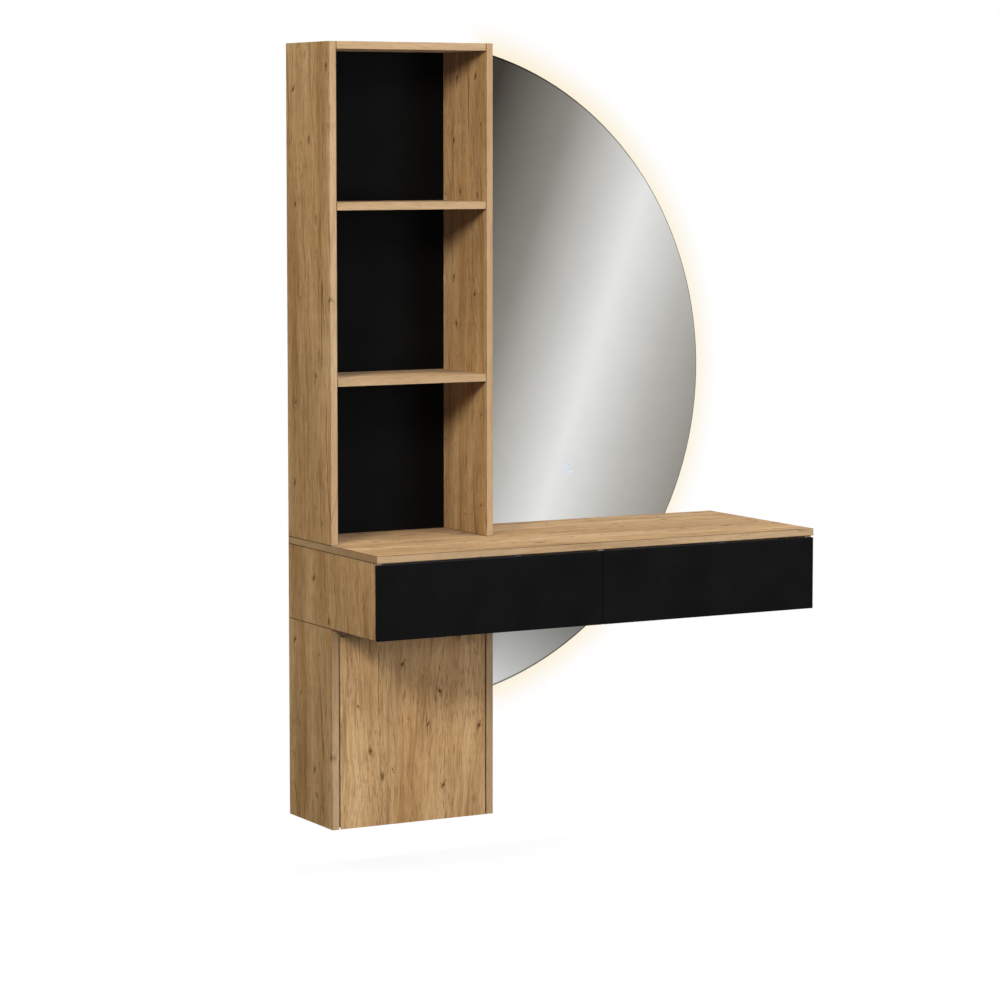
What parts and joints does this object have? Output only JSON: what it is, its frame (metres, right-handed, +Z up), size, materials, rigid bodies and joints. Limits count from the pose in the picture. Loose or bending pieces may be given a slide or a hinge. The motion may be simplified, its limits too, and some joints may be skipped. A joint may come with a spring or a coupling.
{
  "type": "salon styling station",
  "caption": "Wall-hung styling station: open shelf tower over a push-open cabinet, floating desk with push-open drawers, and a large part-round mirror lit from behind.",
  "frame": {"origin": "on the wall, at the centre of the wall face of the tower's hanging cleat, midway between its two screw holes", "axes": "+X to the right seen from the front, +Y into the wall (the front faces -Y), +Z up"},
  "size_m": [1.1, 0.474, 1.7062],
  "materials": {
    "oak_decor": "satin laminate with oak grain, knots and dark streaks, grain along each board",
    "black_board": "matt black laminate",
    "black_front": "matt black lacquer",
    "box_board": "light grey laminate",
    "softwood": "planed softwood",
    "beech": "fluted beech",
    "zinc_steel": "zinc plated",
    "mirror": "silvered, polished edge",
    "tray_metal": "fine powder coat",
    "led_strip": "light strip",
    "led_diffuser": "opal silicone, lit",
    "driver_case": "moulded case",
    "sensor_board": "circuit board",
    "touch_icon": "lit frosted mark",
    "rubber": "soft matt",
    "grey_plastic": "moulded",
    "black_plastic": "moulded"
  },
  "bodies": {
    "carcass": {"tower_left_side": "oak_decor", "tower_right_side": "oak_decor", "tower_top": "oak_decor", "tower_upper_shelf": "oak_decor", "tower_lower_shelf": "oak_decor", "tower_back_panel": "black_board", "desk_top": "oak_decor", "desk_left_end": "oak_decor", "desk_right_end": "oak_decor", "desk_bottom": "oak_decor", "desk_divider": "oak_decor", "desk_back": "oak_decor", "desk_brackets": "zinc_steel", "cabinet_left_side": "oak_decor", "cabinet_right_side": "oak_decor", "cabinet_top": "oak_decor", "cabinet_bottom": "oak_decor", "cabinet_back": "oak_decor", "cabinet_shelf": "oak_decor", "shelf_pins": "zinc_steel", "cam_locks": "zinc_steel", "cam_bolts": "zinc_steel", "dowels": "beech", "connector_bolts": "zinc_steel", "wall_cleats": "softwood", "board_cleats": "softwood", "cabinet_spacer": "softwood", "mirror_glass": "mirror", "mirror_tray": "tray_metal", "mirror_hang_rail": "zinc_steel", "mirror_wall_rail": "zinc_steel", "led_strip": "led_strip", "led_diffuser": "led_diffuser", "led_driver": "driver_case", "touch_sensor": "sensor_board", "touch_icon": "touch_icon", "supply_grommet": "rubber", "pivot_plates": "zinc_steel", "latch_housings": "grey_plastic", "left_runner_outer": "zinc_steel", "right_runner_outer": "zinc_steel"},
    "left_drawer": {"left_runner_inner": "zinc_steel", "left_drawer_front": "black_front", "left_drawer_sides": "box_board", "left_drawer_back": "box_board", "left_drawer_bottom": "box_board"},
    "left_runner": {"left_runner_middle": "zinc_steel"},
    "right_drawer": {"right_runner_inner": "zinc_steel", "right_drawer_front": "black_front", "right_drawer_sides": "box_board", "right_drawer_back": "box_board", "right_drawer_bottom": "box_board"},
    "right_runner": {"right_runner_middle": "zinc_steel"},
    "door": {"door_panel": "oak_decor", "door_bushes": "grey_plastic", "door_strike_plate": "zinc_steel"},
    "door_latch": {"door_latch_plunger": "black_plastic"},
    "left_latch": {"left_latch_plunger": "black_plastic"},
    "right_latch": {"right_latch_plunger": "black_plastic"}
  },
  "joints": [
    {"name": "left_drawer_slide", "type": "slide", "parent": "carcass", "child": "left_drawer", "axis": [0, -1, 0], "range_m": [0, 0.33]},
    {"name": "left_runner_slide", "type": "slide", "parent": "carcass", "child": "left_runner", "axis": [0, -1, 0], "range_m": [0, 0.165]},
    {"name": "right_drawer_slide", "type": "slide", "parent": "carcass", "child": "right_drawer", "axis": [0, -1, 0], "range_m": [0, 0.33]},
    {"name": "right_runner_slide", "type": "slide", "parent": "carcass", "child": "right_runner", "axis": [0, -1, 0], "range_m": [0, 0.165]},
    {"name": "door_hinge", "type": "hinge", "parent": "carcass", "child": "door", "pos_m": [-0.164, -0.248, -1.376], "axis": [0, 0, -1], "range_deg": [0, 95]},
    {"name": "door_latch_press", "type": "slide", "parent": "carcass", "child": "door_latch", "axis": [0, 1, 0], "range_m": [0, 0.006], "stiffness_N_per_m": 250},
    {"name": "left_latch_press", "type": "slide", "parent": "carcass", "child": "left_latch", "axis": [0, 1, 0], "range_m": [0, 0.006], "stiffness_N_per_m": 250},
    {"name": "right_latch_press", "type": "slide", "parent": "carcass", "child": "right_latch", "axis": [0, 1, 0], "range_m": [0, 0.006], "stiffness_N_per_m": 250}
  ],
  "couplings": [
    {"joint": "left_runner_slide", "follows": "left_drawer_slide", "ratio": 0.5},
    {"joint": "right_runner_slide", "follows": "right_drawer_slide", "ratio": 0.5}
  ]
}
